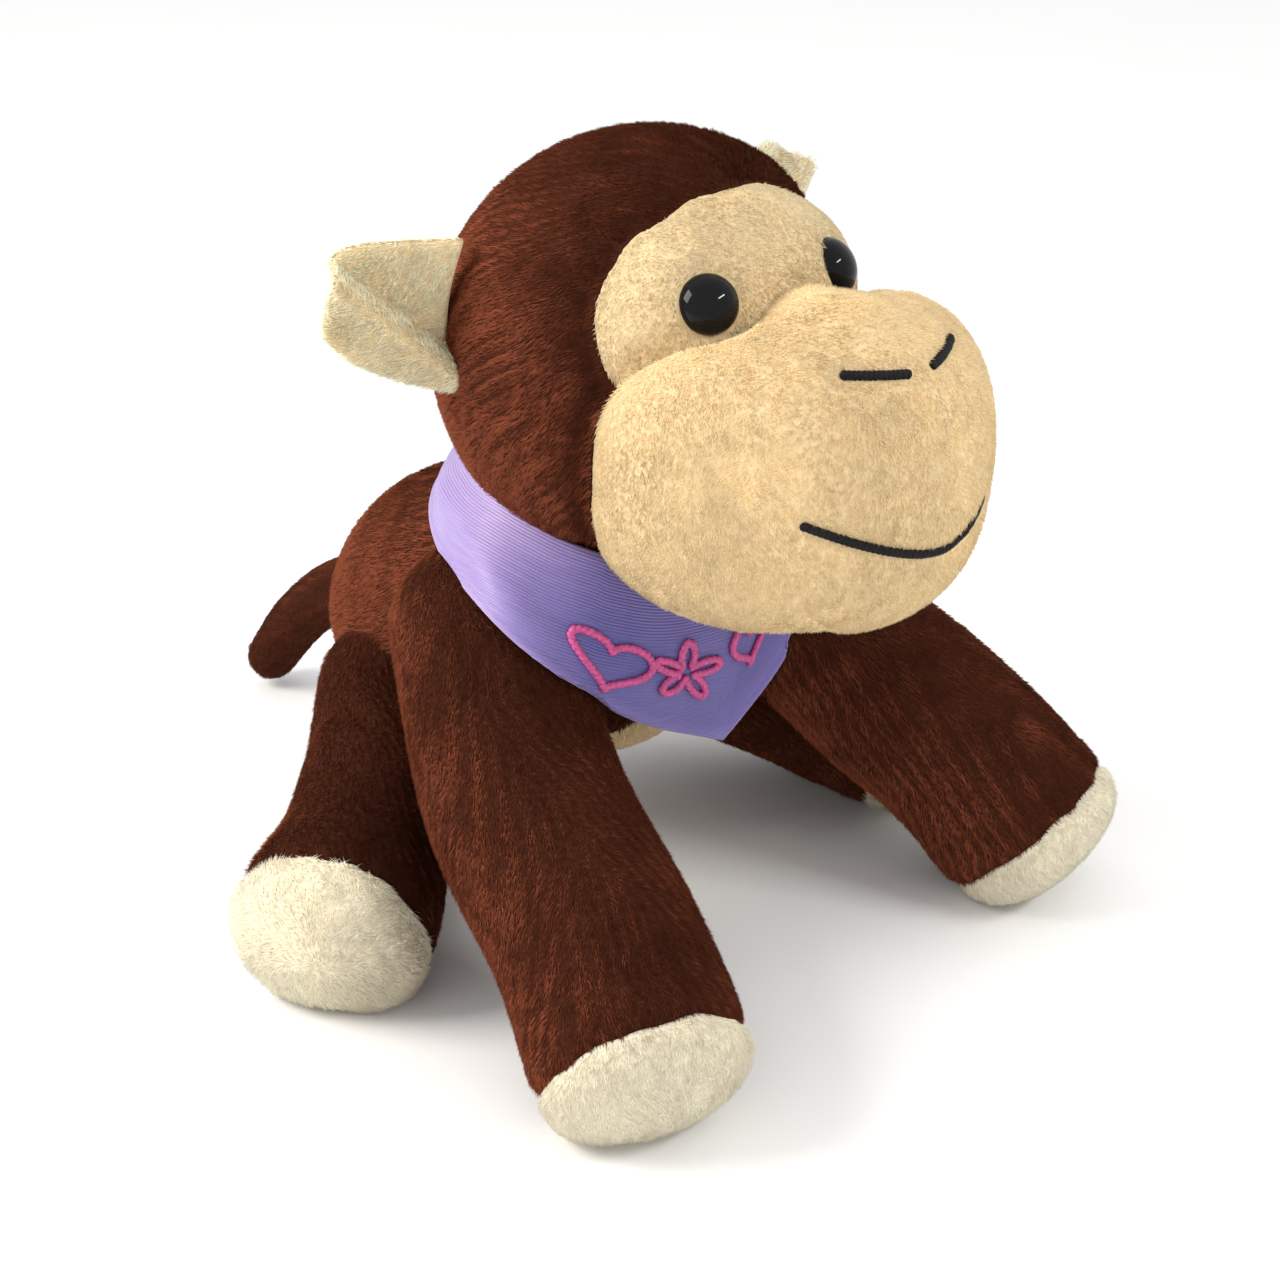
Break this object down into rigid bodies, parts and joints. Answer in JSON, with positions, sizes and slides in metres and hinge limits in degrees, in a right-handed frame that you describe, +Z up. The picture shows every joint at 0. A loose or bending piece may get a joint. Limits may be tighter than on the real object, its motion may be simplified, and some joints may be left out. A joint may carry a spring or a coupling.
{
  "type": "stuffed monkey toy",
  "caption": "Plush monkey standing on all fours with a big cream muzzle, glossy eyes, cupped ears, a thin tail and a satin bandana round its neck.",
  "frame": {"origin": "on the floor, under the middle of the whole toy", "axes": "+Z up, the monkey faces -Y, its right side at -X"},
  "size_m": [0.1834, 0.2243, 0.169],
  "materials": {
    "plush_brown": "short velour pile, brown",
    "plush_cream": "short velour pile, warm cream",
    "plush_pale": "short velour pile, pale cream",
    "satin": "ribbed lavender satin",
    "thread_pink": "satin-stitched pink thread",
    "thread_black": "black embroidery thread",
    "eye_gloss": "glossy black",
    "washer_plastic": "plain white plastic",
    "stuffing": "loose polyester fibre",
    "pellet_bag": "woven bag of plastic pellets"
  },
  "bodies": {
    "torso": {"torso_back": "plush_brown", "torso_belly": "plush_cream", "torso_filling": "stuffing", "pellet_pouch": "pellet_bag", "bandana": "satin", "bandana_embroidery": "thread_pink", "bandana_knot": "satin"},
    "neck": {"neck_filling": "stuffing"},
    "head": {"head_hood": "plush_brown", "face_mask": "plush_cream", "muzzle": "plush_cream", "head_filling": "stuffing", "eye_right": "eye_gloss", "eye_left": "eye_gloss", "eye_washer_right": "washer_plastic", "eye_washer_left": "washer_plastic", "nostril_right": "thread_black", "nostril_left": "thread_black", "mouth": "thread_black"},
    "ear_right": {"ear_right_front": "plush_cream", "ear_right_back": "plush_cream"},
    "ear_left": {"ear_left_front": "plush_cream", "ear_left_back": "plush_cream"},
    "arm_right": {"arm_right_sleeve": "plush_brown", "arm_right_paw": "plush_pale", "arm_right_filling": "stuffing"},
    "arm_left": {"arm_left_sleeve": "plush_brown", "arm_left_paw": "plush_pale", "arm_left_filling": "stuffing"},
    "leg_right": {"leg_right_sleeve": "plush_brown", "leg_right_foot": "plush_pale", "leg_right_filling": "stuffing"},
    "leg_left": {"leg_left_sleeve": "plush_brown", "leg_left_foot": "plush_pale", "leg_left_filling": "stuffing"},
    "tail": {"tail_sleeve": "plush_brown", "tail_filling": "stuffing"}
  },
  "joints": [
    {"name": "neck_turn", "type": "hinge", "parent": "torso", "child": "neck", "pos_m": [0, -0.036, 0.126], "axis": [0, 0, 1], "range_deg": [-20, 20]},
    {"name": "head_nod", "type": "hinge", "parent": "neck", "child": "head", "pos_m": [0, -0.036, 0.126], "axis": [1, 0, 0], "range_deg": [-12, 5]},
    {"name": "ear_right_fold", "type": "hinge", "parent": "head", "child": "ear_right", "pos_m": [-0.0412, -0.0215, 0.139], "axis": [0, 0, 1], "range_deg": [-20, 20]},
    {"name": "ear_left_fold", "type": "hinge", "parent": "head", "child": "ear_left", "pos_m": [0.0412, -0.0215, 0.139], "axis": [0, 0, 1], "range_deg": [-20, 20]},
    {"name": "arm_right_swing", "type": "hinge", "parent": "torso", "child": "arm_right", "pos_m": [-0.033, -0.022, 0.068], "axis": [1, 0, 0], "range_deg": [-12, 5]},
    {"name": "arm_left_swing", "type": "hinge", "parent": "torso", "child": "arm_left", "pos_m": [0.033, -0.024, 0.067], "axis": [1, 0, 0], "range_deg": [-12, 5]},
    {"name": "leg_right_turn", "type": "hinge", "parent": "torso", "child": "leg_right", "pos_m": [-0.031, 0.015, 0.04], "axis": [0, 0, 1], "range_deg": [-15, 6]},
    {"name": "leg_left_turn", "type": "hinge", "parent": "torso", "child": "leg_left", "pos_m": [0.031, 0.015, 0.04], "axis": [0, 0, 1], "range_deg": [0, 20]},
    {"name": "tail_lift", "type": "hinge", "parent": "torso", "child": "tail", "pos_m": [0, 0.048, 0.046], "axis": [1, 0, 0], "range_deg": [0, 50]}
  ]
}
